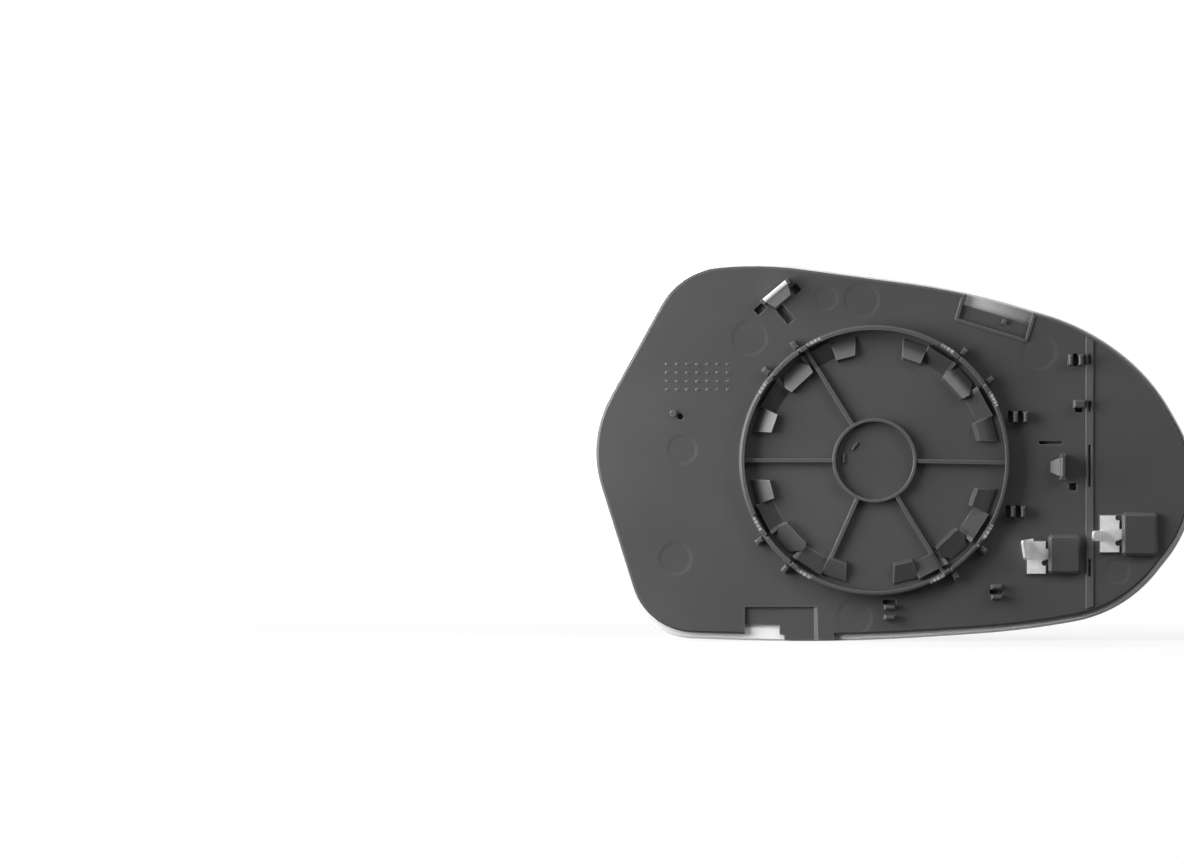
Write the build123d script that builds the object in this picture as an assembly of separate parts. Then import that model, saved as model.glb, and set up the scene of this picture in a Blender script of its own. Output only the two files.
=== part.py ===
from build123d import *
import math
import os

# Car door mirror glass: a convex glass, its heater film and the moulded carrier that snaps on to the
# tilt actuator. Millimetres, +Z up. The carrier's back faces -Y, the glass faces +Y and the rounded
# outer end is at +X. The origin is on the snap collar's axis, in the plane of the collar's rim.

# Outline of the glass, in front view
inner_reach = 95.0
outer_reach = 105.0
top_reach = 64.5
bottom_reach = 59.5
inner_tip_radius = 38.0
top_corner_radius = 32.0
bottom_corner_radius = 22.0

# Sheets, from the front of the glass to the back of the carrier
glass_radius = 1400.0
asphere_radius = 500.0
asphere_width = 42.0
glass_thickness = 2.0
film_thickness = 0.3
bond_gap = 0.1
plate_thickness = 2.2
glass_edge_bevel = 0.6
plate_inset = 1.3
plate_lift = 0.8
plate_edge_bevel = 0.6
film_inset = 6.0

# Snap collar
collar_bore_radius = 42.5
collar_wall = 1.5
collar_height = 6.5
collar_land = 3.0
collar_relief = 0.45
collar_turn = -2.3
rim_bevel = 0.5
slit_width = 0.8
slit_angle = 7.8
slit_root = 1.0
post_gap = 0.4
post_length = 2.6
post_width = 1.8
post_height = 4.6
post_bevel = 0.4

# Flat spring wire in the collar's groove, with windows in the rim where it shows
wire_width = 1.0
wire_thickness = 0.7
wire_clearance = 0.05
wire_depth = 1.8
wire_gap_angle = 8.0
window_angle = 15.0
window_span = 7.2

# Hooks and ramps inside the collar
hook_inner_radius = 34.7
hook_lead = 0.9
hook_outer_radius = 40.6
hook_inner_height = 3.3
hook_outer_height = 0.7
hook_side = 7.75
side_hook_angle = 23.0
middle_hook_inner_width = 9.0
middle_hook_width = 10.8
middle_hook_outer_width = 6.2
hook_taper_radius = 37.2
ramp_height = 2.0
ramp_toe = 0.6
ramp_start_angle = 7.0
ramp_gap = 1.6

# Hub and ribs
hub_radius = 13.65
hub_wall = 0.9
hub_height = 3.0
rib_width = 1.2
rib_height = 2.6
long_rib_angles = [-1.0, 122.0, 180.0, 301.5]
short_rib_angle = 246.0

# Heater terminals and the hoods over their feet
sheet_metal = 0.7
terminal_bend = 0.8
terminal_clearance = 0.3
pad_height = 0.9
hood_height = 3.2
hood_wall = 0.9
hood_corner = 0.9
hood_bevel = 0.9
base_gap = 0.8
tongue_width = 3.4
tongue_reach = 4.5
notch_radius = 0.9
notch_drop = 2.9
blade_height = 8.0
blade_root = 2.4
terminal_spacing = 23.9
inner_hood_inset = 29.0
inner_hood_width = 10.6
inner_hood_length = 12.7
inner_base_width = 6.0
inner_base_length = 10.5
inner_base_shift = -1.1
inner_blade_width = 6.3
inner_blade_shift = 1.6
inner_blade_lean = 1.8
inner_blade_turn = 8.0
inner_blade_tip = 0.7
outer_hood_inset = 24.6
outer_hood_z = -24.0
outer_hood_width = 11.6
outer_hood_length = 14.0
outer_base_width = 6.2
outer_base_length = 11.9
outer_base_shift = 0.1
outer_notch_rise = 5.35
outer_blade_width = 3.3
outer_blade_shift = -0.5
outer_blade_lean = 3.0
outer_blade_turn = 0.0
outer_blade_tip = 0.9

# Spring clips and the brackets that they straddle
clip_thickness = 0.35
clip_bend = 0.5
clip_clearance = 0.06
clip_top_clearance = 0.2
clip_leg = 4.4
clip_flare = 3.2
clip_flare_drop = 3.4
clip_taper = 1.6
bracket_wall = 0.9
bracket_height = 6.4
bracket_stop = 0.9
upper_clip_x = -32.4
upper_clip_z = 54.9
upper_clip_turn = 129.8
upper_clip_length = 9.4
upper_clip_windows = [(-1.2, 7.3, 2.3, 3.6), (-3.6, -5.6, 2.8, 3.0), (-7.7, 2.2, 6.4, 2.8)]
outer_clip_x = 61.2
outer_clip_z = -2.1
outer_clip_turn = 0.0
outer_clip_length = 6.4
outer_clip_windows = [(-3.8, 7.9, 7.5, 1.1), (3.4, -6.5, 2.4, 2.4)]

# Wire guides: pairs of posts with windows between or beside them, as x, z, turn and window steps
low_guide_inset = 10.1
side_guide_inset = 16.7
guide_places = [
    (47.5, 14.1, 90.0, [0, 1]),
    (46.7, -16.7, 90.0, [0, 1]),
    (4.9, low_guide_inset - bottom_reach, 0.0, [1]),
    (39.7, side_guide_inset - bottom_reach, 0.0, [0]),
    (65.4, 32.7, 90.0, [0]),
]
guide_pitch = 3.3
guide_post_length = 3.5
guide_post_width = 1.5
guide_post_height = 4.5
guide_post_bevel = 0.4
guide_window_length = 4.2
guide_window_width = 1.4
stop_x = 66.6
stop_z = 18.4
stop_length = 3.8
stop_width = 2.6
pin_x = -65.6
pin_z = 15.3
pin_radius = 1.1
pin_sides = 8
pin_height = 1.5
pin_hole_x = -63.2
pin_hole_z = 14.3
pin_hole_radius = 1.1

# Recesses at the carrier's edge
recess_depth = 1.3
recess_rim = 1.0
recess_rim_height = 0.5
recess_slope = 1.0
top_recess_start = 0.6
top_recess_length = 22.8
top_recess_reach = 9.6
top_cut_reach = 4.6
cut_wall = 0.4
locating_pip = 1.4
locating_pip_root = 0.5
top_pip_along = 15.3
top_pip_reach = 6.2
bottom_recess_x = -30.9
bottom_recess_length = 22.6
bottom_recess_reach = 11.8
bottom_cut_length = 11.3
bottom_cut_reach = 6.0
edge_tab_x = -21.2
edge_tab_length = 16.2
edge_tab_reach = 6.0
edge_tab_gap = 0.3

# Band over the start of the outer zone, with slots in it
band_offset = 7.0
band_width = 2.4
band_height = 0.6
band_end_gap = 0.6
band_slot_width = 0.8
band_slot_depth = 1.2
band_slots = [(-1.8, 13.6), (17.6, 3.4), (33.0, 3.2), (-35.0, 5.6)]

# Working allowances of the construction
run_share = 0.49
sheet_margin = 8.0
cut_margin = 3.0
film_window_margin = 1.0

# Derived sizes
collar_radius = collar_bore_radius + collar_wall
relief_radius = collar_bore_radius + collar_relief
film_depth = glass_thickness + bond_gap
plate_depth = film_depth + film_thickness + bond_gap
stack = plate_depth + plate_thickness
axis_y = collar_height - math.sqrt((glass_radius - stack) ** 2 - collar_radius**2)
bend = math.asin((outer_reach - asphere_width) / glass_radius)
asphere_x = (glass_radius - asphere_radius) * math.sin(bend)
asphere_y = axis_y + (glass_radius - asphere_radius) * math.cos(bend)
front_y = axis_y + glass_radius
root = plate_thickness / 2
collar_foot = collar_height + root
diagonals = [45 + collar_turn + 90 * quarter for quarter in range(4)]
outer_hood_x = outer_reach - outer_hood_inset
inner_hood_x = outer_hood_x - terminal_spacing
inner_hood_z = inner_hood_inset - bottom_reach
hook_toe_radius = hook_inner_radius - hook_lead


def polar(radius, angle):
    """Plan point at a radius and an angle in degrees from +X towards +Z."""
    return (radius * math.cos(math.radians(angle)), radius * math.sin(math.radians(angle)))


def sheet_y(depth, x, z):
    """Y of the curved surface at a depth below the front of the glass, over a plan point."""
    if x < (glass_radius - depth) * math.sin(bend):
        turning_radius = math.sqrt((glass_radius - depth) ** 2 - x**2)
    else:
        arc_rise = math.sqrt((asphere_radius - depth) ** 2 - (x - asphere_x) ** 2)
        turning_radius = asphere_y - axis_y + arc_rise
    return axis_y + math.sqrt(turning_radius**2 - z**2)


def back_y(x, z):
    """Y of the carrier's back face over a plan point."""
    return sheet_y(stack, x, z)


def prism(sketch, back, front):
    """Straight prism of a plan sketch between two values of Y, the back one being the lower."""
    plan = Plane(origin=(0, front, 0), x_dir=(1, 0, 0), z_dir=(0, -1, 0))
    return extrude(plan * sketch, front - back, dir=(0, -1, 0))


def raised(sketch, x, z, height):
    """Feature that stands on the carrier's back, rooted in it."""
    return prism(Pos(x, z) * sketch, back_y(x, z) - height, back_y(x, z) + root)


def eased(solid, bevel):
    """Solid with its hindmost edges bevelled."""
    return chamfer(solid.faces().group_by(Axis.Y)[0].edges(), bevel)


def sunk(sketch, x, z, depth):
    """Cutter for a recess in the carrier's back."""
    return prism(Pos(x, z) * sketch, back_y(x, z) - cut_margin, back_y(x, z) + depth)


def through(sketch, x, z):
    """Cutter for a window through the carrier."""
    return sunk(sketch, x, z, plate_thickness + cut_margin)


def radial_plane(angle):
    """Plane through the collar's axis, with x outwards along the angle and y along +Y."""
    out_x, out_z = polar(1, angle)
    return Plane(origin=(0, 0, 0), x_dir=(out_x, 0, out_z), z_dir=(-out_z, 0, out_x))


def polygon(points):
    """Face of a closed run of straight edges."""
    return make_face(Polyline(*points, close=True))


def rounded(corners, radii):
    """Closed outline with every corner rounded, each radius limited by the runs beside it."""
    limited = []
    for i, corner in enumerate(corners):
        before = Vector(*corners[i - 1]) - Vector(*corner)
        after = Vector(*corners[(i + 1) % len(corners)]) - Vector(*corner)
        half_turn = math.radians(180 - before.get_angle(after)) / 2
        longest = run_share * min(before.length, after.length) / math.tan(half_turn)
        limited.append(min(radii.get(i, longest), longest))
    return make_face(FilletPolyline(*corners, radius=limited, close=True))


def section_curve(depth):
    """Section of the curved surface at a depth: the spherical zone, then the tighter outer zone."""
    first = -math.asin((inner_reach + sheet_margin) / glass_radius)
    last = math.asin((outer_reach + sheet_margin - asphere_x) / asphere_radius)
    main = glass_radius - depth
    outer = asphere_radius - depth

    def on_main(angle):
        return (main * math.sin(angle), axis_y + main * math.cos(angle))

    def on_outer(angle):
        return (asphere_x + outer * math.sin(angle), asphere_y + outer * math.cos(angle))

    main_arc = ThreePointArc(on_main(first), on_main((first + bend) / 2), on_main(bend))
    outer_arc = ThreePointArc(on_outer(bend), on_outer((bend + last) / 2), on_outer(last))
    return main_arc, outer_arc


def curved_sheet(near, far):
    """Curved sheet between two depths below the front of the glass, larger than the outline."""
    near_main, near_outer = section_curve(near)
    far_main, far_outer = section_curve(far)
    inner_end = Line(near_main @ 0, far_main @ 0)
    outer_end = Line(near_outer @ 1, far_outer @ 1)
    section = make_face([near_main, near_outer, outer_end, far_outer, far_main, inner_end])
    turning_axis = Axis((0, axis_y, 0), (1, 0, 0))
    tallest = max(top_reach, bottom_reach) + sheet_margin
    half_sweep = math.degrees(math.asin(tallest / (glass_radius - far)))
    return revolve(section, turning_axis, 2 * half_sweep).rotate(turning_axis, -half_sweep)


def outline_prism(sketch):
    """Prism of an outline, long enough to pass through every sheet."""
    return prism(sketch, -collar_height, front_y + cut_margin)


def rim_edges(solid, facing):
    """Outer edges of the curved face that looks along Y in the facing direction."""
    faces = [face for face in solid.faces() if face.normal_at().Y * facing > math.sqrt(0.5)]
    edges = [edge for face in faces for edge in face.edges()]
    joint_x = (outer_reach - asphere_width) * (1 - stack / glass_radius)
    return [
        edge
        for edge in edges
        if abs(edge.center().X - joint_x) > cut_margin or edge.bounding_box().size.X > glass_edge_bevel
    ]


glass_corners = [
    (-inner_reach, 6.0),
    (31.0 - inner_reach, top_reach - 2.5),
    (58.0 - inner_reach, top_reach),
    (29.5, top_reach - 9.0),
    (outer_reach - 36.0, top_reach - 21.0),
    (outer_reach - 14.5, 27.0),
    (outer_reach, 0.5),
    (outer_reach - 2.5, -23.0),
    (outer_reach - 23.5, 10.0 - bottom_reach),
    (outer_reach - 56.5, 4.0 - bottom_reach),
    (-13.0, -bottom_reach),
    (20.0 - inner_reach, 2.0 - bottom_reach),
]
corner_radii = {0: inner_tip_radius, 1: top_corner_radius, 11: bottom_corner_radius}
glass_outline = rounded(glass_corners, corner_radii)
plate_outline = Pos(0, plate_lift) * offset(glass_outline, -plate_inset)

# The top recess lies along the upper edge, in a frame of its own: x along the edge, y outwards
edge_start = Vector(*glass_corners[3])
edge_run = Vector(*glass_corners[4]) - edge_start
edge_turn = math.degrees(math.atan2(edge_run.Y, edge_run.X))
top_edge = Pos(edge_start.X, edge_start.Y) * Rot(0, 0, edge_turn)
top_middle = top_recess_start + top_recess_length / 2


def strip_on_top_edge(length, reach):
    """Plan rectangle on the upper edge, from outside the glass to a reach inside it."""
    height = reach + cut_margin
    return top_edge * Pos(top_middle, cut_margin - height / 2) * Rectangle(length, height)


def strip_on_bottom_edge(x, length, reach):
    """Plan rectangle on the lower edge, from outside the glass to a reach inside it."""
    height = reach + cut_margin
    return Pos(x, height / 2 - cut_margin - bottom_reach) * Rectangle(length, height)


bottom_cut_x = bottom_recess_x - (bottom_recess_length - bottom_cut_length) / 2
top_window = strip_on_top_edge(top_recess_length - 2 * cut_wall, top_cut_reach)
bottom_window = strip_on_bottom_edge(bottom_cut_x, bottom_cut_length, bottom_cut_reach)


def make_glass():
    """Convex mirror glass with a ground edge, bevelled at the back."""
    glass = curved_sheet(0, glass_thickness) & outline_prism(glass_outline)
    return chamfer(rim_edges(glass, -1), glass_edge_bevel)


def make_film():
    """Heater film between the glass and the carrier, cut away where the glass shows."""
    outline = offset(polygon(glass_corners), -film_inset, kind=Kind.INTERSECTION)
    outline -= offset(top_window, film_window_margin, kind=Kind.INTERSECTION)
    outline -= offset(bottom_window, film_window_margin, kind=Kind.INTERSECTION)
    return curved_sheet(film_depth, film_depth + film_thickness) & outline_prism(outline)


def make_plate_sheet():
    """Sheet of the carrier: its bevelled rim, the tab at the lower edge and the flat seat in the collar."""
    sheet = curved_sheet(plate_depth, stack)
    plate = chamfer(rim_edges(sheet & outline_prism(plate_outline), -1), plate_edge_bevel)
    seat = prism(Circle(relief_radius + collar_relief), collar_height, collar_foot)
    tab_plan = strip_on_bottom_edge(edge_tab_x, edge_tab_length, edge_tab_reach)
    tab = sheet & outline_prism(tab_plan & offset(glass_outline, -edge_tab_gap))
    return plate + tab + seat


def make_collar():
    """Snap collar: a land at the mouth, a relief behind it and a groove outside for the spring wire."""
    groove_floor = collar_radius - wire_width - wire_clearance
    groove_half = wire_thickness / 2 + wire_clearance
    section = polygon(
        [
            (collar_bore_radius, 0),
            (collar_radius - rim_bevel, 0),
            (collar_radius, rim_bevel),
            (collar_radius, wire_depth - groove_half),
            (groove_floor, wire_depth - groove_half),
            (groove_floor, wire_depth + groove_half),
            (collar_radius, wire_depth + groove_half),
            (collar_radius, collar_foot),
            (relief_radius, collar_foot),
            (relief_radius, collar_land + collar_relief),
            (collar_bore_radius, collar_land),
        ]
    )
    collar = revolve(section, Axis.Y)
    middle = collar_bore_radius + collar_wall / 2
    span = collar_wall + cut_margin
    window_length = 2 * middle * math.sin(math.radians(window_span / 2))
    cutters = []
    for diagonal in diagonals:
        for side in (-1, 1):
            slit = Rot(0, 0, diagonal + side * slit_angle) * Pos(middle, 0) * Rectangle(span, slit_width)
            window = (
                Rot(0, 0, diagonal + side * window_angle) * Pos(middle, 0) * Rectangle(span, window_length)
            )
            cutters.append(prism(slit, -cut_margin, collar_height - slit_root))
            cutters.append(prism(window, -cut_margin, wire_depth))
    return collar - cutters


def make_hook(plan, angle):
    """Hook of a plan outline: a steep inner face, then a face that falls away from the axis."""
    floor = collar_height
    section = polygon(
        [
            (hook_toe_radius, floor + root),
            (hook_toe_radius, floor),
            (hook_inner_radius, floor - hook_inner_height),
            (hook_outer_radius, floor - hook_outer_height),
            (hook_outer_radius + cut_margin, floor - hook_outer_height),
            (hook_outer_radius + cut_margin, floor + root),
        ]
    )
    wedge = extrude(radial_plane(angle) * section, middle_hook_width, both=True)
    return wedge & prism(plan, -cut_margin, floor + root)


def side_hook_plan():
    """Side hook beside the +X axis of the collar's own clocked frame."""
    far_inner = math.sqrt(hook_toe_radius**2 - hook_side**2)
    far_outer = math.sqrt(hook_outer_radius**2 - hook_side**2)
    return polygon(
        [
            (far_inner, hook_side),
            (far_outer, hook_side),
            polar(hook_outer_radius, side_hook_angle),
            polar(hook_toe_radius, side_hook_angle),
        ]
    )


def middle_hook_plan():
    """Middle hook on +X: wider at its waist, narrower at both ends."""
    return polygon(
        [
            (hook_toe_radius, -middle_hook_inner_width / 2),
            (hook_taper_radius, -middle_hook_width / 2),
            (hook_outer_radius, -middle_hook_outer_width / 2),
            (hook_outer_radius, middle_hook_outer_width / 2),
            (hook_taper_radius, middle_hook_width / 2),
            (hook_toe_radius, middle_hook_inner_width / 2),
        ]
    )


def make_ramp(diagonal, side):
    """Ramp that rises outwards between the middle hook and a side hook."""
    floor = collar_height
    crest = collar_bore_radius - ramp_gap
    toe = hook_inner_radius + ramp_toe
    foot = floor + root
    section = polygon([(toe, foot), (toe, floor), (crest, floor - ramp_height), (crest, foot)])
    first = diagonal + side * ramp_start_angle
    last = diagonal + side * (45 - side_hook_angle)
    reach = crest + cut_margin
    plan = polygon([(0, 0), polar(reach, first), polar(reach, last)])
    wedge = extrude(radial_plane((first + last) / 2) * section, middle_hook_width, both=True)
    return wedge & prism(plan, -cut_margin, foot)


def snap_features():
    """Hooks, ramps and wire posts of the four quarters of the collar."""
    parts = []
    side_angle = (side_hook_angle + math.degrees(math.asin(hook_side / hook_outer_radius))) / 2
    post_radius = collar_radius + post_gap + post_length / 2
    mirrored = mirror(side_hook_plan(), Plane.XZ)
    for diagonal in diagonals:
        parts.append(make_hook(Rot(0, 0, diagonal) * middle_hook_plan(), diagonal))
        low_turn, high_turn = diagonal - 45, diagonal + 45
        parts.append(make_hook(Rot(0, 0, low_turn) * side_hook_plan(), low_turn + side_angle))
        parts.append(make_hook(Rot(0, 0, high_turn) * mirrored, high_turn - side_angle))
        for side in (-1, 1):
            parts.append(make_ramp(diagonal, side))
            place = Rot(0, 0, diagonal + side * slit_angle) * Pos(post_radius, 0)
            post = place * Rectangle(post_length, post_width)
            parts.append(eased(prism(post, collar_height - post_height, collar_foot), post_bevel))
    return parts


def hub_features():
    """Hub ring and the ribs that tie it to the collar."""
    ring = Circle(hub_radius) - Circle(hub_radius - hub_wall)
    parts = [prism(ring, collar_height - hub_height, collar_foot)]
    rib_start = hub_radius - hub_wall / 2
    rib_ends = {angle: relief_radius + collar_relief for angle in long_rib_angles}
    rib_ends[short_rib_angle] = hook_inner_radius
    for angle, rib_end in rib_ends.items():
        bar = Pos((rib_start + rib_end) / 2, 0) * Rectangle(rib_end - rib_start, rib_width)
        parts.append(prism(Rot(0, 0, angle) * bar, collar_height - rib_height, collar_foot))
    return parts


def guide_features():
    """Posts of the wire guides, the single stop and the locating pin."""
    parts = []
    for x, z, turn, window_steps in guide_places:
        post = Rectangle(guide_post_length, guide_post_width)
        pair = Rot(0, 0, turn) * Pos(0, guide_pitch / 2) * post
        pair += Rot(0, 0, turn) * Pos(0, -guide_pitch / 2) * post
        parts.append(eased(raised(pair, x, z, guide_post_height), guide_post_bevel))
    stop = raised(Rectangle(stop_length, stop_width), stop_x, stop_z, guide_post_height)
    parts.append(eased(stop, guide_post_bevel))
    parts.append(raised(RegularPolygon(pin_radius, pin_sides), pin_x, pin_z, pin_height))
    return parts


def guide_windows():
    """Windows beside the guide posts, below the stop and beside the locating pin."""
    window = Rectangle(guide_window_length, guide_window_width)
    cutters = []
    for x, z, turn, window_steps in guide_places:
        for step in window_steps:
            cutters.append(through(Rot(0, 0, turn) * Pos(0, step * guide_pitch) * window, x, z))
    stop_window_z = stop_z - (stop_width + guide_window_width) / 2
    stop_window = Rectangle(stop_length - stop_width / 2, guide_window_width)
    cutters.append(through(stop_window, stop_x, stop_window_z))
    cutters.append(through(RegularPolygon(pin_hole_radius, pin_sides), pin_hole_x, pin_hole_z))
    return cutters


class Terminal:
    """Sizes and places of one heater terminal, its pad and its hood."""

    def __init__(self, hood_x, z, hood_size, base_size, base_shift, notch_shifts, blade):
        self.hood_x = hood_x
        self.z = z
        self.hood_width, self.hood_length = hood_size
        self.base_width, self.base_length = base_size
        self.base_z = z + base_shift
        self.notch_shifts = notch_shifts
        self.blade_width, blade_shift, self.blade_lean, self.blade_turn, self.blade_tip = blade
        self.blade_z = z + blade_shift
        self.base_end = hood_x - base_gap
        self.base_x = self.base_end - self.base_width
        self.pad_y = back_y(hood_x, z) - pad_height
        self.base_y = self.pad_y - sheet_metal / 2
        self.hood_top = self.pad_y - hood_height

    def hood(self):
        """Bevelled hood over the foot, with the pad that the base sits on."""
        middle = self.hood_x + self.hood_width / 2
        plan = Rectangle(self.hood_width, self.hood_length)
        plan = Pos(middle, self.z) * chamfer(plan.vertices(), hood_corner)
        hood = eased(prism(plan, self.hood_top, back_y(middle, self.z) + root), hood_bevel)
        pad_width = self.base_width + base_gap + hood_corner + terminal_clearance
        pad_plan = Pos(self.hood_x + hood_corner - pad_width / 2, self.base_z) * Rectangle(
            pad_width, self.base_length + 2 * terminal_clearance
        )
        return [hood, prism(pad_plan, self.pad_y, back_y(self.hood_x, self.z) + root)]

    def openings(self):
        """Hollow of the hood down to the heater film, and the mouth that the tongue goes in by."""
        hollow_plan = Pos(self.hood_x + self.hood_width / 2, self.z) * Rectangle(
            self.hood_width - 2 * hood_wall, self.hood_length - 2 * hood_wall
        )
        hollow = prism(hollow_plan, self.hood_top + hood_wall, front_y)
        mouth_plan = Pos(self.hood_x + hood_wall / 2, self.z) * Rectangle(
            2 * hood_wall, tongue_width + 2 * terminal_clearance
        )
        return [hollow, prism(mouth_plan, self.pad_y - sheet_metal - terminal_clearance, self.pad_y)]

    def blade(self):
        """Blade folded up from the base, with a bevelled tip, and the room that its fold takes."""
        path = FilletPolyline(
            (blade_root, 0),
            (0, 0),
            (-self.blade_lean, -blade_height - sheet_metal),
            radius=terminal_bend,
        )
        strip = extrude(trace(path, sheet_metal), self.blade_width / 2, both=True)
        half = self.blade_width / 2
        shoulder = blade_height - self.blade_tip
        front = polygon(
            [
                (-half, -sheet_metal),
                (half, -sheet_metal),
                (half, shoulder),
                (half - self.blade_tip, blade_height),
                (self.blade_tip - half, blade_height),
                (-half, shoulder),
            ]
        )
        across = Plane(origin=(0, 0, 0), x_dir=(0, 0, 1), z_dir=(1, 0, 0))
        shaped = strip & extrude(across * front, 2 * blade_height, both=True)
        fold = Pos(terminal_bend - blade_root, 0, 0) * Box(2 * blade_root, blade_height, self.blade_width)
        place = Pos(self.base_x, self.base_y, self.blade_z) * Rot(0, -self.blade_turn, 0)
        return place * shaped, place * fold

    def metal(self):
        """Folded sheet: foot on the film, tongue, base on the pad and the upright blade."""
        foot_x = self.hood_x + tongue_reach
        path = FilletPolyline(
            (foot_x, sheet_y(film_depth + film_thickness, foot_x + sheet_metal, self.z - tongue_width / 2)),
            (foot_x, self.base_y),
            (self.base_x, self.base_y),
            radius=terminal_bend,
        )
        strip = extrude(trace(path, sheet_metal), self.hood_length, both=True)
        base_middle = self.base_end - self.base_width / 2
        plan = Pos(base_middle, self.base_z) * Rectangle(self.base_width, self.base_length)
        plan += Pos(self.hood_x, self.z) * Rectangle(2 * (tongue_reach + sheet_metal), tongue_width)
        for shift in self.notch_shifts:
            plan -= Pos(self.base_end - notch_radius / 2, self.z + shift) * Circle(notch_radius)
        blade, fold = self.blade()
        sheet = (Pos(0, 0, self.z) * strip) & prism(plan, -2 * blade_height, front_y)
        return sheet - fold + blade


terminals = {
    "inner_terminal": Terminal(
        inner_hood_x,
        inner_hood_z,
        (inner_hood_width, inner_hood_length),
        (inner_base_width, inner_base_length),
        inner_base_shift,
        [-notch_drop],
        (inner_blade_width, inner_blade_shift, inner_blade_lean, inner_blade_turn, inner_blade_tip),
    ),
    "outer_terminal": Terminal(
        outer_hood_x,
        outer_hood_z,
        (outer_hood_width, outer_hood_length),
        (outer_base_width, outer_base_length),
        outer_base_shift,
        [-notch_drop, outer_notch_rise],
        (outer_blade_width, outer_blade_shift, outer_blade_lean, outer_blade_turn, outer_blade_tip),
    ),
}


class SpringClip:
    """Place of one folded spring clip and of the bracket and windows that hold it."""

    def __init__(self, x, z, turn, length, windows):
        self.x = x
        self.z = z
        self.turn = turn
        self.length = length
        self.windows = windows
        self.floor = back_y(x, z)

    def plan(self, out, along, across_size, along_size):
        """Plan rectangle in the clip's own frame: outwards from the collar, then along the fold."""
        frame = Pos(self.x, self.z) * Rot(0, 0, self.turn)
        return frame * Pos(out, along) * Rectangle(across_size, along_size)

    def bracket(self):
        """Wall that the clip straddles, with a thicker stop at each end."""
        top = self.floor - bracket_height
        foot = self.floor + root
        parts = [prism(self.plan(0, 0, bracket_wall, self.length + 2 * bracket_stop), top, foot)]
        stop_along = (self.length + bracket_stop) / 2 + clip_clearance
        stop_across = bracket_wall + 2 * (clip_clearance + clip_thickness)
        for side in (-1, 1):
            parts.append(prism(self.plan(0, side * stop_along, stop_across, bracket_stop), top, foot))
        return parts

    def openings(self):
        """Windows through the carrier round the bracket."""
        return [prism(self.plan(*window), self.floor - cut_margin, front_y) for window in self.windows]

    def metal(self):
        """Folded strip over the wall: one straight leg outside, one flared and tapered leg inside."""
        half = bracket_wall / 2 + clip_clearance + clip_thickness / 2
        top = self.floor - bracket_height - clip_top_clearance - clip_thickness / 2
        path = FilletPolyline(
            (half, top + clip_leg),
            (half, top),
            (-half, top),
            (-half, top + clip_leg - clip_flare_drop),
            (-half - clip_flare, top + clip_leg),
            radius=clip_bend,
        )
        strip = extrude(trace(path, clip_thickness), self.length / 2, both=True)
        reach = half + clip_flare + clip_thickness
        width = self.length / 2
        outline = polygon(
            [
                (reach, width),
                (-half, width),
                (-reach, width - clip_taper),
                (-reach, clip_taper - width),
                (-half, -width),
                (reach, -width),
            ]
        )
        clip = strip & prism(outline, top - cut_margin, self.floor)
        return Pos(self.x, 0, self.z) * Rot(0, -self.turn, 0) * clip


clips = {
    "upper_spring_clip": SpringClip(
        upper_clip_x, upper_clip_z, upper_clip_turn, upper_clip_length, upper_clip_windows
    ),
    "outer_spring_clip": SpringClip(
        outer_clip_x, outer_clip_z, outer_clip_turn, outer_clip_length, outer_clip_windows
    ),
}


def edge_recesses():
    """Recesses in the carrier's edge and the cuts that leave the glass bare."""
    top_plan = strip_on_top_edge(top_recess_length, top_recess_reach)
    top_floor = back_y(edge_start.X + top_middle, edge_start.Y - top_recess_reach) + recess_depth
    bottom_floor = back_y(bottom_recess_x, bottom_recess_reach / 2 - bottom_reach) + recess_depth
    above = recess_depth + cut_margin
    start_x = bottom_recess_x - bottom_recess_length / 2
    end_x = start_x + bottom_recess_length
    profile = polygon(
        [
            (start_x, bottom_floor),
            (end_x, bottom_floor),
            (end_x + above * recess_slope, bottom_floor - above),
            (start_x, bottom_floor - above),
        ]
    )
    low_z = -bottom_reach - cut_margin
    return [
        prism(top_plan, top_floor - above, top_floor),
        extrude(Pos(0, 0, low_z) * profile, bottom_recess_reach + cut_margin),
        outline_prism(top_window),
        outline_prism(bottom_window),
    ]


def recess_border():
    """Raised border round the top recess, following the carrier's curve, open at the edge."""
    recess = strip_on_top_edge(top_recess_length, top_recess_reach)
    inside = offset(plate_outline, -plate_edge_bevel - band_end_gap)
    border = (offset(recess, recess_rim) & inside) - recess
    return curved_sheet(stack - root, stack + recess_rim_height) & outline_prism(border)


def recess_pip():
    """Locating pip on the floor of the top recess."""
    plan = top_edge * Pos(top_pip_along, -top_pip_reach) * Rectangle(locating_pip, locating_pip)
    crest = back_y(plan.center().X, plan.center().Y)
    return prism(plan, crest, crest + recess_depth + locating_pip_root)


def make_band():
    """Low band over the start of the outer zone, following the carrier's curve from edge to edge."""
    band_x = outer_reach - asphere_width + band_offset
    plan = Pos(band_x, 0) * Rectangle(band_width, 2 * (top_reach + bottom_reach))
    inside = offset(plate_outline, -plate_edge_bevel - band_end_gap)
    return curved_sheet(stack - root, stack + band_height) & outline_prism(plan & inside)


def band_cuts():
    """Narrow slots along the band."""
    band_x = outer_reach - asphere_width + band_offset
    return [
        sunk(Rectangle(band_slot_width, length), band_x, z, band_slot_depth) for z, length in band_slots
    ]


def make_carrier():
    """Moulded carrier: curved sheet, recesses, then everything that stands on it, then its windows."""
    carrier = make_plate_sheet() - edge_recesses()
    features = [make_collar(), make_band(), recess_border(), recess_pip()]
    features += snap_features() + hub_features() + guide_features()
    cutters = guide_windows() + band_cuts()
    for terminal in terminals.values():
        features += terminal.hood()
        cutters += terminal.openings()
    for clip in clips.values():
        features += clip.bracket()
        cutters += clip.openings()
    return carrier + features - cutters


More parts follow.
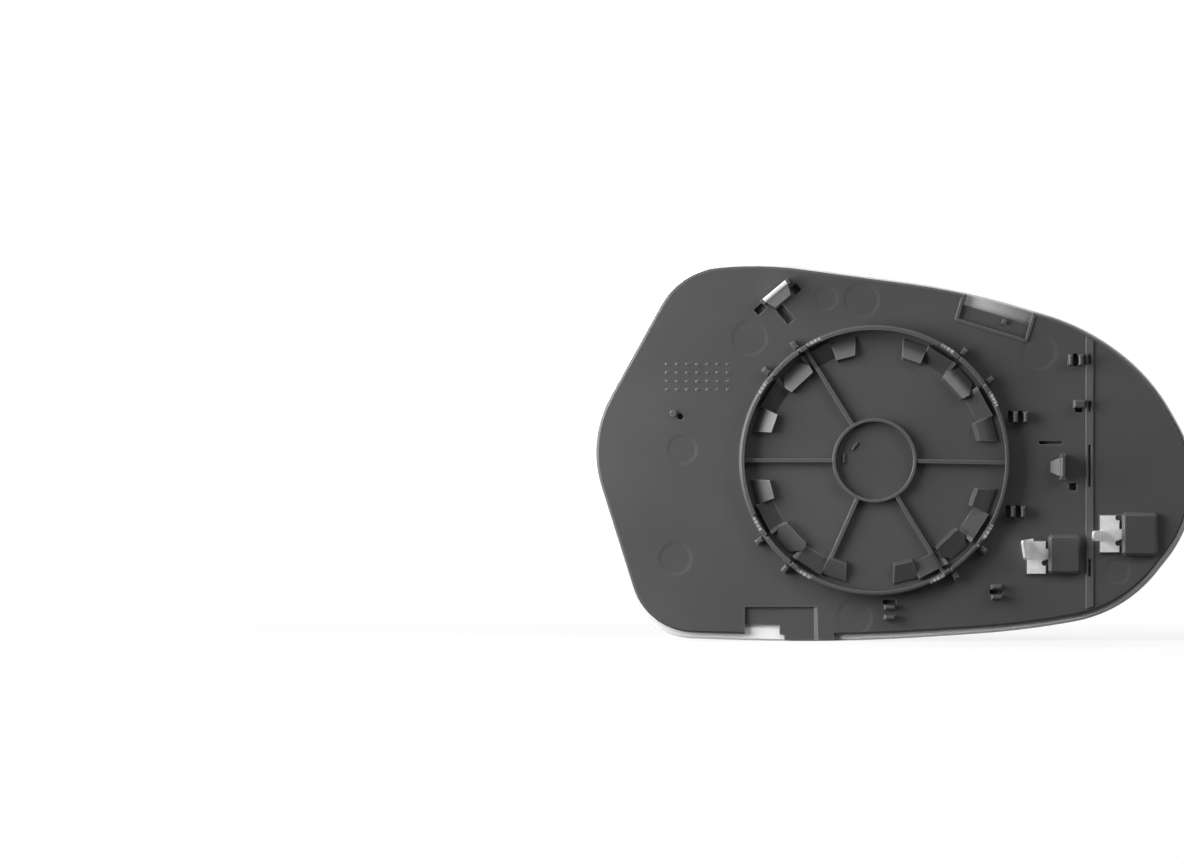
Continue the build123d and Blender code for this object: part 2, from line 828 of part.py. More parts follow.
def make_wire():
    """Open ring of flat spring wire in the collar's groove."""
    section = Pos(collar_radius - wire_width / 2, wire_depth) * Rectangle(wire_width, wire_thickness)
    return revolve(section, Axis.Y, 360 - wire_gap_angle)


nodes = {
    "mirror_glass": make_glass(),
    "heater_film": make_film(),
    "carrier_plate": make_carrier(),
    "retaining_spring": make_wire(),
}
for name, terminal in terminals.items():
    nodes[name] = terminal.metal()
for name, clip in clips.items():
    nodes[name] = clip.metal()

os.makedirs("parts", exist_ok=True)
for name, shape in nodes.items():
    export_step(shape, f"parts/{name}.step")
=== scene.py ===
# %% [markdown]
# # A car door mirror glass, seen from behind
# The part is a convex mirror glass on a dark moulded carrier. The carrier's round collar snaps on to
# the motor that tilts the mirror. This lesson dresses the solids of the part: it sets up a camera, gives
# every piece a finish made from shader nodes, adds the fine relief that a moulding tool leaves behind and
# lights it all in a small studio. The solids could be modelled again here, but they already have the right
# sizes, so they only get materials. All lengths are metres, +Z is up and the carrier's back faces -Y.

import math

import bmesh
import bpy
from mathutils import Matrix, Vector


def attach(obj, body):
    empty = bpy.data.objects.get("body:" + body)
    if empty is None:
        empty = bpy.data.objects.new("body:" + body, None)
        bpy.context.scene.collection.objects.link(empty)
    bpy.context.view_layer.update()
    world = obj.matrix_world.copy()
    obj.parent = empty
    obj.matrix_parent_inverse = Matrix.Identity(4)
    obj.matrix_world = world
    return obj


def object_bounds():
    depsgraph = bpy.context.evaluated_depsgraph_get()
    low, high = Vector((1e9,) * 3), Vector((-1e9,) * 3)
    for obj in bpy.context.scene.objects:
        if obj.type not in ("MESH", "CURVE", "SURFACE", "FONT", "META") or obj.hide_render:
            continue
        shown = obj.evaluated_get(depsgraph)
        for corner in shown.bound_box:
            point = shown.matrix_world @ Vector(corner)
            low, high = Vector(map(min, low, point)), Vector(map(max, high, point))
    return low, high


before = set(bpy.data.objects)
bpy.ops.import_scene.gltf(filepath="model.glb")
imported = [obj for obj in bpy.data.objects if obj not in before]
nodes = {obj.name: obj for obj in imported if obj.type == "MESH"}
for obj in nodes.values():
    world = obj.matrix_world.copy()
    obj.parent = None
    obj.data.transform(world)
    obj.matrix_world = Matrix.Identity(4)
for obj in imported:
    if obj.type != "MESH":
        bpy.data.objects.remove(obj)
cad_low, cad_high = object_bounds()
MM = 0.001
print("nodes:", ", ".join(sorted(nodes)))

# %% [markdown]
# ## Camera
# The camera looks square on to the back and keeps the part where it is in the photograph's frame: right
# of the middle, with the outer tip just past the edge. An orthographic camera would show much the same.
# A long lens far away is chosen because it is how a catalogue picture is taken, and its lines are as
# good as parallel.

# %% Place the camera
FRAME_WIDTH_PX = 1184
FRAME_HEIGHT_PX = 864
COLLAR_PX = (875.0, 460.5)
METRES_PER_PX = 0.325 * MM
CAMERA_DISTANCE = 3.0
CAMERA_FAR = 100.0
SENSOR_WIDTH = 36.0

scene = bpy.context.scene
camera_data = bpy.data.cameras.new("camera")
camera = bpy.data.objects.new("camera", camera_data)
scene.collection.objects.link(camera)
scene.camera = camera
camera_data.sensor_width = SENSOR_WIDTH
camera_data.lens = SENSOR_WIDTH * CAMERA_DISTANCE / (FRAME_WIDTH_PX * METRES_PER_PX)
camera_data.clip_end = CAMERA_FAR
camera.location = (
    (FRAME_WIDTH_PX / 2 - COLLAR_PX[0]) * METRES_PER_PX,
    -CAMERA_DISTANCE,
    (COLLAR_PX[1] - FRAME_HEIGHT_PX / 2) * METRES_PER_PX,
)
camera.rotation_euler = (math.pi / 2, 0, 0)
print("lens", round(camera_data.lens, 1), "mm")

# %% [markdown]
# ## Shader sums
# A finish is a web of nodes. It could be wired up node by node, but it is easier to read when it is
# written as a sum. This class wraps one output of a node, so that Python's own signs add Math nodes, and
# its node method makes any other node.


# %% A socket that can be used in sums
class Field:
    """One output of a node in a shader tree, with the sums that Python can write on it."""

    def __init__(self, tree, socket=None):
        self.tree = tree
        self.socket = socket

    def node(self, kind, settings=None, out=0, sockets=None):
        """Adds a node: its settings first, then the values or links of its sockets."""
        made = self.tree.nodes.new(kind)
        for name, value in (settings or {}).items():
            setattr(made, name, value)
        for name, value in (sockets or {}).items():
            if isinstance(value, Field):
                self.tree.links.new(value.socket, made.inputs[name])
            else:
                made.inputs[name].default_value = value
        return Field(self.tree, made.outputs[out])

    def sum(self, operation, first, second=0.0):
        """Adds a Math node."""
        return self.node("ShaderNodeMath", {"operation": operation}, 0, {0: first, 1: second})

    def __add__(self, other):
        return self.sum("ADD", self, other)

    def __radd__(self, other):
        return self.sum("ADD", other, self)

    def __sub__(self, other):
        return self.sum("SUBTRACT", self, other)

    def __rsub__(self, other):
        return self.sum("SUBTRACT", other, self)

    def __mul__(self, other):
        return self.sum("MULTIPLY", self, other)

    def __rmul__(self, other):
        return self.sum("MULTIPLY", other, self)

    def __gt__(self, other):
        return self.sum("GREATER_THAN", self, other)

    def __lt__(self, other):
        return self.sum("LESS_THAN", self, other)

    def __abs__(self):
        return self.sum("ABSOLUTE", self)

    def ramp(self, low, high, start=0.0, end=1.0):
        """Takes the run from low to high on to the run from start to end, held at both ends."""
        sockets = {"Value": self, "From Min": low, "From Max": high, "To Min": start, "To Max": end}
        return self.node("ShaderNodeMapRange", {"clamp": True}, 0, sockets)


print("a Field can be used in sums")

# %% [markdown]
# ## Words for a finish
# Every finish below starts in the same way and needs the same few things: a place on the piece, a cloudy
# noise, a colour between two others and a bump. A node group could hold each of them. Short functions do
# the same, and can be read without opening the node editor.


# %% Places, noise and colours
def start_finish(name):
    """A new material: its surface shader node and the Object coordinates to paint by."""
    material = bpy.data.materials.new(name)
    material.use_nodes = True
    tree = material.node_tree
    surface = tree.nodes["Principled BSDF"]
    place = Field(tree).node("ShaderNodeTexCoord", out="Object")
    return material, surface, place


def along(vector, axis):
    """One of the X, Y and Z parts of a vector."""
    return vector.node("ShaderNodeSeparateXYZ", None, axis, {"Vector": vector})


def noise(place, size, detail, roughness):
    """Cloudy noise whose features are about as large as size, in metres."""
    sockets = {"Vector": place, "Scale": 1 / size, "Detail": detail, "Roughness": roughness}
    return place.node("ShaderNodeTexNoise", {"noise_dimensions": "3D"}, "Fac", sockets)


def grey(level):
    """A neutral grey as a linear colour."""
    return (level, level, level, 1.0)


# A Mix node has sockets of the same names for numbers and for colours, so those for colours go by number
MIX_FIRST, MIX_SECOND, MIX_RESULT = 6, 7, 2


def mixed(share, first, second):
    """Colour between two colours, by a share that is a Field."""
    sockets = {"Factor": share, MIX_FIRST: first, MIX_SECOND: second}
    return share.node("ShaderNodeMix", {"data_type": "RGBA"}, MIX_RESULT, sockets)


print("words for places, noise and colours")


# %% Bumps, sockets and slots
def bumped(height, depth, under=None):
    """Surface normal from a height field of the given depth in metres, over another normal."""
    sockets = {"Height": height, "Distance": depth, "Strength": 1.0}
    if under is not None:
        sockets["Normal"] = under
    return height.node("ShaderNodeBump", None, 0, sockets)


def connect(surface, **fields):
    """Links fields or sets values on the surface shader's sockets."""
    for name, value in fields.items():
        socket = surface.inputs[name.replace("_", " ")]
        if isinstance(value, Field):
            value.tree.links.new(value.socket, socket)
        else:
            socket.default_value = value


def dress(name, material):
    """Gives a solid of the part its material and says so."""
    slots = nodes[name].data.materials
    slots.clear()
    slots.append(material)
    print(name, "has", material.name)


print("words for bumps, sockets and slots")

# %% [markdown]
# ## Ejector marks
# The pins that push the carrier out of its mould leave shallow round marks on its back. They could be
# cut as discs, but they are far thinner than the wall, so a bump shows them well enough. The distance
# from each centre, faded over a narrow edge, is one mark, and the marks are multiplied together.

# %% Ejector marks
MARK_DEPTH = 0.14 * MM
MARK_EDGE = 0.6 * MM
# Centre x, centre z and radius
EJECTOR_MARKS_MM = [
    (-40.6, 39.8, 5.5),
    (-62.6, 3.5, 4.6),
    (-64.8, -32.0, 5.1),
    (-4.2, 52.2, 5.5),
    (-15.7, 52.7, 3.6),
    (53.6, 35.3, 5.5),
    (79.0, -36.0, 3.9),
    (-6.5, -51.0, 5.5),
]


def ejector_relief(place):
    """Height field that is 1 on the plain wall and 0 inside the marks of the ejector pins."""
    plan = place.node("ShaderNodeVectorMath", {"operation": "MULTIPLY"}, 0, {0: place, 1: (1, 0, 1)})
    relief = None
    for x, z, radius in EJECTOR_MARKS_MM:
        ends = {0: plan, 1: (x * MM, 0, z * MM)}
        away = plan.node("ShaderNodeVectorMath", {"operation": "DISTANCE"}, "Value", ends)
        mark = away.ramp(radius * MM - MARK_EDGE, radius * MM + MARK_EDGE)
        relief = mark if relief is None else relief * mark
    return relief


print(len(EJECTOR_MARKS_MM), "ejector marks")

# %% [markdown]
# ## Ramps inside the collar
# Inside the collar, a ramp joins each middle hook to the hooks beside it. The ramps get painted shade:
# their colour is darkened towards black, and they are also rougher than the plate. They could be painted
# with an attribute, but a solid's mesh is left alone. Their place can be worked out instead: they repeat
# round the collar, so the angle is folded up with Ping-Pong and one sector of a ring gives all eight.

# %% Ramps inside the collar
RAMP_RING = (35.6 * MM, 42 * MM)
RAMP_SECTOR = (math.radians(23.2), math.radians(36.2))
RAMP_FOLD = math.radians(45)
COLLAR_TURN = math.radians(-2.3)


def round_collar(place):
    """Angle round the collar's axis, in radians."""
    return place.sum("ARCTAN2", along(place, "Z"), along(place, "X"))


def ramp_zone(place):
    """1 on the ramps between the hooks and 0 elsewhere."""
    x, z = along(place, "X"), along(place, "Z")
    folded = x.sum("PINGPONG", round_collar(place) - COLLAR_TURN, RAMP_FOLD)
    reach = x.sum("SQRT", x * x + z * z)
    sector = (folded > RAMP_SECTOR[0]) * (folded < RAMP_SECTOR[1])
    return sector * (reach > RAMP_RING[0]) * (reach < RAMP_RING[1])


print("ramps from", RAMP_RING[0] / MM, "to", RAMP_RING[1] / MM, "mm")

# %% [markdown]
# ## Painted edge highlights
# The outer edges of the carrier get a painted highlight: they are painted paler than its flats to stand in
# for the light they catch. The Geometry node's Pointiness can find edges, but only on a fine, even mesh,
# and the solids have few, long triangles. An Ambient Occlusion node that looks inside the wall doesn't
# mind: near an outer edge its short rays soon meet the next face.

# %% Painted edge highlights
HIGHLIGHT_REACH = 0.6 * MM
HIGHLIGHT_FADE = (0.95, 0.45)
HIGHLIGHT_SAMPLES = 8


def painted_edge_mask(place):
    """Painted highlight mask: 1 on outer edges, where short rays inside the wall soon meet its next face,
    0 on flats.
    """
    settings = {"inside": True, "only_local": True, "samples": HIGHLIGHT_SAMPLES}
    depth = place.node("ShaderNodeAmbientOcclusion", settings, "AO", {"Distance": HIGHLIGHT_REACH})
    return depth.ramp(*HIGHLIGHT_FADE)


print("wear reaches", HIGHLIGHT_REACH / MM, "mm from an edge")

# %% [markdown]
# ## Carrier plastic
# The carrier is injection-moulded in a dark grey plastic. Up close it has a fine grain, and from a step
# away its grey drifts a little where the melt flowed. A painted highlight makes the narrow raised band
# near the outer end a little paler than the plate. Moulded edges are never razor sharp. The mesh could be
# bevelled, but a solid's mesh is left alone, so a Bevel node rounds the edges for the light to catch.

# %% Carrier plastic
PLASTIC_GREY = 0.05
PLASTIC_SHINE = 0.5
PLASTIC_ROUGH = 0.3
TONE_SPAN = 0.1
# Most of a noise lies between these levels
NOISE_SPREAD = (0.3, 0.7)
# Noises are given as size, detail and roughness
GRAIN_NOISE = (0.45 * MM, 2.0, 0.6)
GRAIN_DEPTH = 0.012 * MM
GRAIN_ROUGH = 0.12
FLOW_NOISE = (38 * MM, 3.0, 0.55)
FLOW_SPREAD = (0.35, 0.65)
FLOW_SHARE = 0.7
EDGE_ROUND = 0.3 * MM
EDGE_SAMPLES = 6
BAND_X = 70 * MM
BAND_WIDTH = 2.8 * MM
# Share of the painted highlight on the raised band
BAND_HIGHLIGHT = 0.35
# Painted highlight: its share on the outer edges, and its paler grey as a multiple of the plastic's grey
EDGE_HIGHLIGHT = 0.7
HIGHLIGHT_TONE = 2.2
# Share of painted shade, towards black, on the ramps between the hooks
RAMP_PAINTED_SHADE = 0.75
RAMP_ROUGH = 0.3


def carrier_plastic(name, painted_highlight):
    """Dark grey plastic with fine grain, ejector marks, slow tone changes, painted highlights and painted
    shade.
    """
    material, surface, place = start_finish(name)
    flow = noise(place, *FLOW_NOISE).ramp(*FLOW_SPREAD)
    grain = noise(place, *GRAIN_NOISE)
    specks = grain.ramp(*NOISE_SPREAD)
    tone = flow * FLOW_SHARE + specks * (1 - FLOW_SHARE)
    dark, light = grey(PLASTIC_GREY * (1 - TONE_SPAN)), grey(PLASTIC_GREY * (1 + TONE_SPAN))
    band = abs(along(place, "X") - BAND_X).ramp(BAND_WIDTH / 2, BAND_WIDTH / 3)
    # Painted highlight: the band and the outer edges are mixed towards a paler grey
    highlight_share = band.sum("MAXIMUM", band * BAND_HIGHLIGHT, painted_edge_mask(place) * painted_highlight)
    plain = mixed(highlight_share, mixed(tone, dark, light), grey(PLASTIC_GREY * HIGHLIGHT_TONE))
    ramps = ramp_zone(place)
    edges = place.node("ShaderNodeBevel", {"samples": EDGE_SAMPLES}, 0, {"Radius": EDGE_ROUND})
    marked = bumped(ejector_relief(place), MARK_DEPTH, edges)
    connect(
        surface,
        # Painted shade: the ramps' colour is darkened towards black
        Base_Color=mixed(ramps * RAMP_PAINTED_SHADE, plain, grey(0.0)),
        Roughness=PLASTIC_ROUGH + GRAIN_ROUGH * specks + RAMP_ROUGH * ramps,
        Specular_IOR_Level=PLASTIC_SHINE,
        Normal=bumped(grain, GRAIN_DEPTH, marked),
    )
    return material


dress("carrier_plate", carrier_plastic("carrier_plastic", EDGE_HIGHLIGHT))

# %% [markdown]
# ## Mould pips
# Near the inner end, the carrier has a small grid of raised pips, and two small bars stand inside the
# hub. Such marks tell a mould's cavities and runs apart, and here all of them are plain. A bump would do
# from the front, but not from the side, so each is a small block with rounded edges whose foot is sunk in
# the wall. A ray from behind finds where the wall is.

# %% Blocks on the carrier's back
PIP_ROOT = 0.2 * MM
RAY_START_Y = -1.0


def on_carrier(x, z):
    """Point on the carrier's back over a plan point."""
    start, inwards = Vector((x, RAY_START_Y, z)), Vector((0, 1, 0))
    _, point, _, _ = nodes["carrier_plate"].ray_cast(start, inwards)
    return point


def add_block(mesh, x, z, size, height, turn):
    """Low block on the carrier's back, with its foot below the surface."""
    middle = on_carrier(x, z) + Vector((0, (PIP_ROOT - height) / 2, 0))
    shape = Matrix.Diagonal((size[0], height + PIP_ROOT, size[1], 1))
    place = Matrix.Translation(middle) @ Matrix.Rotation(math.radians(turn), 4, "Y") @ shape
    bmesh.ops.create_cube(mesh, size=1, matrix=place)


print("wall behind the collar's middle at", round(on_carrier(0, 0).y / MM, 2), "mm")

# %% Mould pips
PIP_CENTRE = (-57.6 * MM, 27.2 * MM)
PIP_COLUMNS = 7
PIP_ROWS = 4
PIP_PITCH = (3.3 * MM, 2.75 * MM)
PIP_SIZE = (1.4 * MM, 1.0 * MM)
PIP_HEIGHT = 0.1 * MM
PIP_ROUND = 0.18 * MM
PIP_SEGMENTS = 2
# Share of the painted edge highlight on the pips and bars
PIP_HIGHLIGHT = 0.15
BAR_SIZE = (0.8 * MM, 3.2 * MM)
BAR_HEIGHT = 0.8 * MM
# Centre x, centre z and turn in degrees
BAR_PLACES_MM = [(-9.9, 0.6, 0), (-6.4, 4.6, 35)]


def mould_pips():
    """Grid of low rounded pips and the two bars in the hub, as one piece on the carrier."""
    mesh = bmesh.new()
    for column in range(PIP_COLUMNS):
        for row in range(PIP_ROWS):
            x = PIP_CENTRE[0] + (column - (PIP_COLUMNS - 1) / 2) * PIP_PITCH[0]
            z = PIP_CENTRE[1] + (row - (PIP_ROWS - 1) / 2) * PIP_PITCH[1]
            add_block(mesh, x, z, PIP_SIZE, PIP_HEIGHT, 0)
    for x, z, turn in BAR_PLACES_MM:
        add_block(mesh, x * MM, z * MM, BAR_SIZE, BAR_HEIGHT, turn)
    bmesh.ops.bevel(
        mesh,
        geom=mesh.edges[:],
        offset=PIP_ROUND,
        affect="EDGES",
        segments=PIP_SEGMENTS,
        profile=0.5,
        material=-1,
    )
    for face in mesh.faces:
        face.smooth = True
    data = bpy.data.meshes.new("mould_pips")
    mesh.to_mesh(data)
    mesh.free()
    data.materials.append(carrier_plastic("pip_plastic", PIP_HIGHLIGHT))
    piece = bpy.data.objects.new("mould_pips", data)
    scene.collection.objects.link(piece)
    return piece


pips = mould_pips()
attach(pips, "root")
print("pips:", len(pips.data.polygons), "faces")

# %% [markdown]
# ## Mirror glass
# The glass is silvered, so its front is a grey mirror, its ground edge is pale and dull, and its back
# shows the protective coat. Three materials could be given to three groups of faces, but a solid's mesh
# is left alone, so the surface normal tells the three apart inside one material. A thin black line on
# the front marks where the more curved outer zone starts. Painted shade darkens the ground edge and the
# coat towards the outer end, the coat most of all in its upper half.

# %% Edge and coat of the glass
EDGE_PALE = 0.8
# Painted shade on the ground edge, darker towards the outer end
EDGE_SHADED_GREY = 0.42
EDGE_SHADE_RUN = (-30 * MM, 60 * MM)
GRIND_SHARE = 0.1
COAT_PALE = 0.66
# Painted shade on the coat, darker towards the outer end and in its upper half
COAT_SHADED_GREY = 0.02
COAT_LOW_SHADED_GREY = 0.55
COAT_SHADE_RUN = (18 * MM, 54 * MM)
COAT_SHADE_RISE = (-10 * MM, 10 * MM)
COAT_WANDER = 8 * MM


def ground_edge(across, grind):
    """Colour of the ground edge, with painted shade that darkens it towards the outer end."""
    shade = across.ramp(*EDGE_SHADE_RUN) * (1 - GRIND_SHARE) + grind * GRIND_SHARE
    return mixed(shade, grey(EDGE_PALE), grey(EDGE_SHADED_GREY))


def back_coat(across, up, wipe):
    """Colour of the protective coat, with painted shade: darker towards the outer end and darkest above.
    """
    outer = (across + (wipe - 0.5) * COAT_WANDER).ramp(*COAT_SHADE_RUN)
    darkest = mixed(up.ramp(*COAT_SHADE_RISE), grey(COAT_LOW_SHADED_GREY), grey(COAT_SHADED_GREY))
    return mixed(outer, grey(COAT_PALE), darkest)


print("coat darkens from", COAT_SHADE_RUN[0] / MM, "to", COAT_SHADE_RUN[1] / MM, "mm")

# %% Mirror glass
MIRROR_GREY = 0.5
MIRROR_ROUGH = 0.03
EDGE_ROUGH = 0.42
UNEVEN_ROUGH = 0.02
WIPE_NOISE = (24 * MM, 4.0, 0.6)
WIPE_TONE = 0.97
GRIND_NOISE = (0.5 * MM, 3.0, 0.6)
GRIND_DEPTH = 0.004 * MM
LINE_X = 63.05 * MM
LINE_WIDTH = 1.0 * MM
LINE_BLACK = 0.01
FLAT_FACING = 0.85


def mirror_finish():
    """Silvered front with a black line, pale ground edge and coated back."""
    material, surface, place = start_finish("mirror_glass")
    across = along(place, "X")
    facing = along(place.node("ShaderNodeNewGeometry", None, "Normal"), "Y")
    front, back = facing > FLAT_FACING, facing < -FLAT_FACING
    line = (abs(across - LINE_X) < LINE_WIDTH / 2) * front
    wipe = noise(place, *WIPE_NOISE).ramp(*NOISE_SPREAD)
    grind = noise(place, *GRIND_NOISE).ramp(*NOISE_SPREAD)
    silver = mixed(wipe, grey(MIRROR_GREY * WIPE_TONE), grey(MIRROR_GREY))
    behind = mixed(back, ground_edge(across, grind), back_coat(across, along(place, "Z"), wipe))
    connect(
        surface,
        Base_Color=mixed(line, mixed(front, behind, silver), grey(LINE_BLACK)),
        Metallic=front * (1 - line),
        Roughness=front.ramp(0, 1, EDGE_ROUGH, MIRROR_ROUGH) + (wipe + grind) * UNEVEN_ROUGH,
        Normal=bumped(grind * (1 - front), GRIND_DEPTH),
    )
    return material


dress("mirror_glass", mirror_finish())

# %% [markdown]
# ## Heater film
# Behind the carrier's windows lies a black film with a printed heating track. The track could be drawn
# as a wave, but the film is only seen through small openings, so a soft black with a faint print grain
# is enough.

# %% Heater film
FILM_BLACK = 0.06
FILM_ROUGH = 0.5
PRINT_NOISE = (0.8 * MM, 3.0, 0.5)
PRINT_TONES = (0.6, 1.4)
PRINT_ROUGH = 0.2


def film_finish():
    """Black printed film with a faint grain."""
    material, surface, place = start_finish("heater_film")
    print_grain = noise(place, *PRINT_NOISE).ramp(*NOISE_SPREAD)
    dark, light = (grey(FILM_BLACK * tone) for tone in PRINT_TONES)
    base = mixed(print_grain, dark, light)
    connect(surface, Base_Color=base, Roughness=FILM_ROUGH + PRINT_ROUGH * print_grain)
    return material


dress("heater_film", film_finish())

# %% [markdown]
# ## Sheet metal
# The blades are tinned sheet, with the fine lines that rolling leaves, and the clips are spring steel
# with an even grain. Both are a little dull in patches. An anisotropic shader could stretch the
# highlights along the lines, but the pieces are a few millimetres wide, so lines in the roughness and a
# slight bump show more. The clip near the outer end gets a copy of the steel with painted shade: its grey
# is far darker, and it is a little rougher.

# %% Tinned sheet and spring steel
DULL_METAL = 0.55
TIN_GREY, TIN_ROUGH = 0.95, 0.32
STEEL_GREY, STEEL_ROUGH = 0.75, 0.3
# Painted shade: the grey of the outer clip's darker copy of the steel, and its roughness
SHADED_STEEL_GREY, DULL_STEEL_ROUGH = 0.09, 0.4
# Marks in a metre along X, Y and Z
SHEET_LINES = (900.0, 900.0, 7000.0)
CLIP_GRAIN = (2500.0, 2500.0, 2500.0)
DRAWN_NOISE = (1.0, 3.0, 0.6)
DRAWN_ROUGH = 0.1
DRAWN_DEPTH = 0.002 * MM
PATCH_NOISE = (2.6 * MM, 3.0, 0.55)
PATCH_SPREAD = (0.35, 0.7)
PATCH_TONE = 0.88
PATCH_ROUGH = 0.06
SHEET_EDGE = 0.15 * MM
SHEET_EDGE_SAMPLES = 4


def metal_finish(name, level, rough, marks):
    """Dull metal with patches, and lines or an even grain by the marks in a metre along each axis."""
    material, surface, place = start_finish(name)
    stretched = place.node("ShaderNodeMapping", None, 0, {"Vector": place, "Scale": marks})
    drawn = noise(stretched, *DRAWN_NOISE).ramp(*NOISE_SPREAD)
    patch = noise(place, *PATCH_NOISE).ramp(*PATCH_SPREAD)
    edges = place.node("ShaderNodeBevel", {"samples": SHEET_EDGE_SAMPLES}, 0, {"Radius": SHEET_EDGE})
    connect(
        surface,
        Base_Color=mixed(patch, grey(level * PATCH_TONE), grey(level)),
        Metallic=DULL_METAL,
        Roughness=rough + DRAWN_ROUGH * drawn + PATCH_ROUGH * patch,
        Normal=bumped(drawn, DRAWN_DEPTH, edges),
    )
    return material


tinned = metal_finish("tinned_sheet", TIN_GREY, TIN_ROUGH, SHEET_LINES)
dress("inner_terminal", tinned)
dress("outer_terminal", tinned)
dress("upper_spring_clip", metal_finish("spring_steel", STEEL_GREY, STEEL_ROUGH, CLIP_GRAIN))
# Painted shade: the outer clip gets a much darker copy of the spring steel
shaded_steel = metal_finish("shaded_spring_steel", SHADED_STEEL_GREY, DULL_STEEL_ROUGH, CLIP_GRAIN)
dress("outer_spring_clip", shaded_steel)

# %% [markdown]
# ## Spring wire
# The flat wire that keeps the collar closed shows fine ribs across it. They could be modelled one by
# one, but they are seen only in the small windows of the rim. They follow the angle round the collar, so
# the material works the angle out from the place and turns it into a fine wave, for colour and bump.

# %% Spring wire
WIRE_GREY = 0.55
WIRE_DARK = 0.25
WIRE_ROUGH = 0.32
WIRE_MARKS = 210
WIRE_MARK_DEPTH = 0.02 * MM
WIRE_MARK_SHARE = 0.75
WIRE_PATCH_NOISE = (2.2 * MM, 3.0, 0.6)
WIRE_PATCH_SHIFT = 3
WIRE_PATCH_ROUGH = 0.12


def wire_finish():
    """Spring steel with fine marks across the wire."""
    material, surface, place = start_finish("spring_wire")
    patch = noise(place, *WIRE_PATCH_NOISE).ramp(*NOISE_SPREAD)
    wave = round_collar(place) * WIRE_MARKS + patch * WIRE_PATCH_SHIFT
    marks = place.sum("SINE", wave).ramp(-1, 1)
    tone = marks * WIRE_MARK_SHARE + patch * (1 - WIRE_MARK_SHARE)
    connect(
        surface,
        Base_Color=mixed(tone, grey(WIRE_GREY * WIRE_DARK), grey(WIRE_GREY)),
        Metallic=DULL_METAL,
        Roughness=WIRE_ROUGH + WIRE_PATCH_ROUGH * patch,
        Normal=bumped(marks, WIRE_MARK_DEPTH),
    )
    return material


dress("retaining_spring", wire_finish())

# %% [markdown]
# ## Floor
# The part stands on a pale floor that the camera sees as plain white, apart from the shadow close to the
# part. A white floor lit by strong lamps would do that too, but it would throw so much light back that
# the dark carrier would turn grey. The Light Path node tells rays apart instead: the camera sees a white
# floor, the light finds a dark one, and the mirror finds a white one in front of it.

# %% Floor
FLOOR_SIZE = 6.0
FLOOR_FADE_START = 0.06
FLOOR_FADE_END = 0.35
FLOOR_PLAIN = 0.75
FLOOR_AHEAD = (0.0, 0.03)
FLOOR_WHITE = 0.85
FLOOR_BOUNCE = 0.08
FLOOR_ROUGH = 0.9


def camera_share(place):
    """1 for rays from the camera, also through glass, and 0 for reflections and for the light."""
    straight = place.node("ShaderNodeLightPath", out="Is Camera Ray")
    through = place.node("ShaderNodeLightPath", out="Is Transmission Ray")
    return (straight + through).ramp(0, 1)


def floor_finish():
    """White floor that keeps the part's shadow close by and is plain white further off."""
    material, surface, place = start_finish("floor")
    seen = camera_share(place)
    base = mixed(seen, grey(FLOOR_BOUNCE), grey(FLOOR_WHITE))
    connect(surface, Base_Color=base, Roughness=FLOOR_ROUGH)
    away = place.node("ShaderNodeVectorMath", {"operation": "LENGTH"}, "Value", {0: place})
    glossy = place.node("ShaderNodeLightPath", out="Is Glossy Ray")
    mirrored = along(place, "Y").ramp(*FLOOR_AHEAD) * glossy
    plain = away.ramp(FLOOR_FADE_START, FLOOR_FADE_END, FLOOR_PLAIN, 1.0) * seen + mirrored
    white = place.node("ShaderNodeEmission", None, 0, {"Color": grey(1.0), "Strength": 1.0})
    lit = Field(material.node_tree, surface.outputs[0])
    shown = place.node("ShaderNodeMixShader", None, 0, {0: plain, 1: lit, 2: white})
    output = material.node_tree.nodes["Material Output"]
    material.node_tree.links.new(shown.socket, output.inputs["Surface"])
    return material


bpy.ops.mesh.primitive_plane_add(size=FLOOR_SIZE, location=(0, 0, cad_low.z))
floor = bpy.context.object
floor.name = "floor"
floor.data.materials.append(floor_finish())
print("floor at", round(cad_low.z / MM, 2), "mm")

# %% [markdown]
# ## Studio
# The camera sees a plain white background. What the part reflects is another matter: a studio is bright
# overhead and in front of the mirror, and dim round the camera, and this difference makes the bevels and
# hooks stand out. Walls and cards could be modelled for it. A world that depends on the direction of a
# ray gives the same reflections with nothing to hide from the camera.

# %% Studio
AMBIENT = 0.03
DIM_SIDE = 0.12
FRONT_SIDE = 1.1
OVERHEAD = 1.2
ABOVE_RUN = (0.25, 0.8)
AHEAD_RUN = (0.0, 0.5)


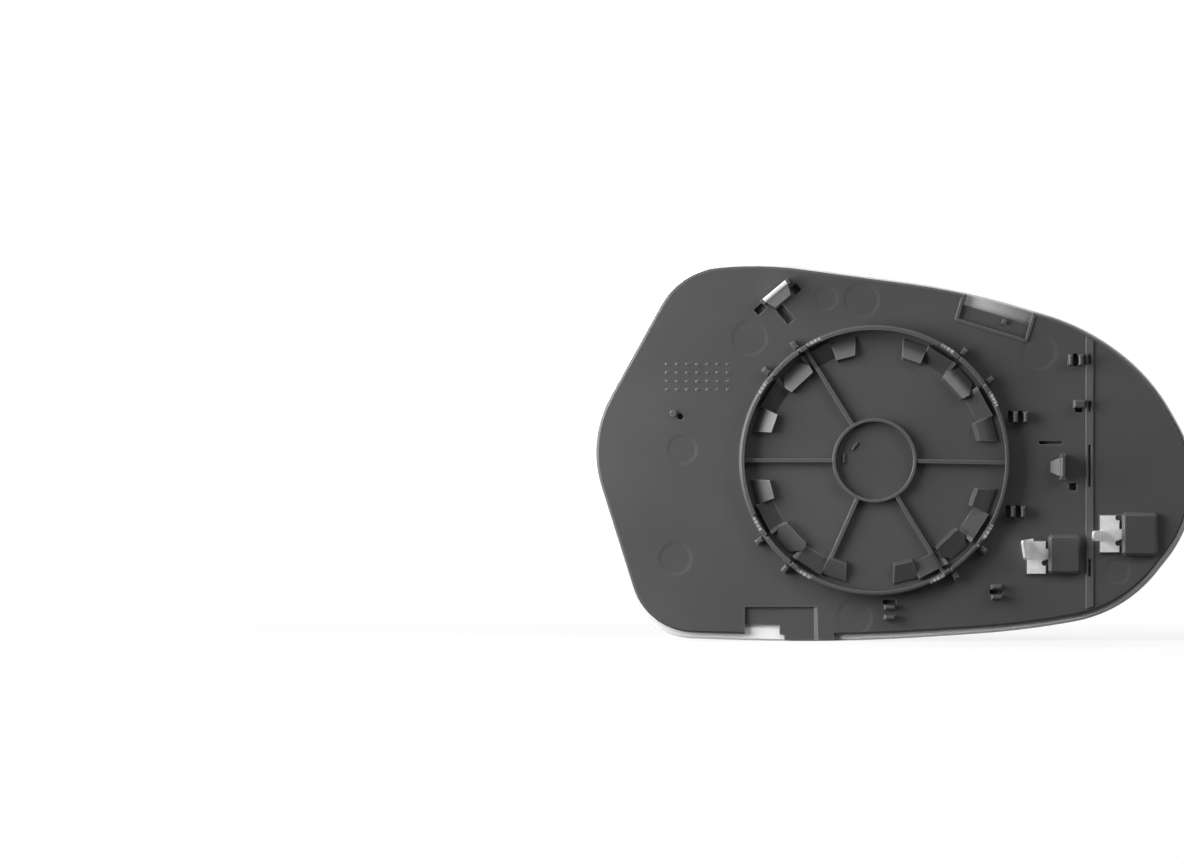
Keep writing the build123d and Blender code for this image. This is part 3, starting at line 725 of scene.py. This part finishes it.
def studio():
    """White for the camera, bright overhead and in front of the mirror for reflections, dim for light."""
    world = bpy.data.worlds.new("studio")
    scene.world = world
    world.use_nodes = True
    background = world.node_tree.nodes["Background"]
    background.inputs["Color"].default_value = grey(1.0)
    sky = Field(world.node_tree)
    towards = sky.node("ShaderNodeTexCoord", out="Generated")
    above = along(towards, "Z").ramp(*ABOVE_RUN, DIM_SIDE, OVERHEAD)
    ahead = along(towards, "Y").ramp(*AHEAD_RUN, DIM_SIDE, FRONT_SIDE)
    reflected = sky.sum("MAXIMUM", above, ahead)
    glossy = sky.node("ShaderNodeLightPath", out="Is Glossy Ray")
    seen = camera_share(sky)
    level = seen + (1 - seen) * (glossy * reflected + (1 - glossy) * AMBIENT)
    world.node_tree.links.new(level.socket, background.inputs["Strength"])


studio()
print("studio: reflections from", DIM_SIDE, "to", OVERHEAD)

# %% [markdown]
# ## Light
# Softboxes give the even light of a catalogue picture. One large lamp would light the carrier flatly, so
# there are four. The left one is near and grazes the back, so that its grey falls off to the right. The
# right and top ones stand where the sloped hooks mirror them to the camera. The back one is for the
# mirror's side.

# %% Light
# Name, place, width and height, and power in watts
SOFTBOXES = [
    ("left", (-0.30, -0.17, 0.06), (0.30, 0.30), 3.4),
    ("right", (0.54, -0.60, 0.46), (0.40, 0.40), 2.8),
    ("top", (-0.12, -0.58, 0.70), (0.80, 0.30), 1.2),
    ("back", (0.50, 1.20, 0.90), (0.70, 0.70), 9.0),
]


def softbox(name, place, size, power):
    """Area lamp that looks at the collar and isn't seen by the camera."""
    lamp = bpy.data.lights.new(name, "AREA")
    lamp.shape = "RECTANGLE"
    lamp.size, lamp.size_y = size
    lamp.energy = power
    box = bpy.data.objects.new(name, lamp)
    box.location = place
    box.rotation_euler = (-Vector(place)).to_track_quat("-Z", "Y").to_euler()
    box.visible_camera = False
    scene.collection.objects.link(box)


for settings in SOFTBOXES:
    softbox(*settings)
scene.view_settings.view_transform = "Standard"
print(len(SOFTBOXES), "softboxes")

# %% [markdown]
# ## End
# The visual model has to stay inside the solids' own box.

# %% End
print("end of the scene")
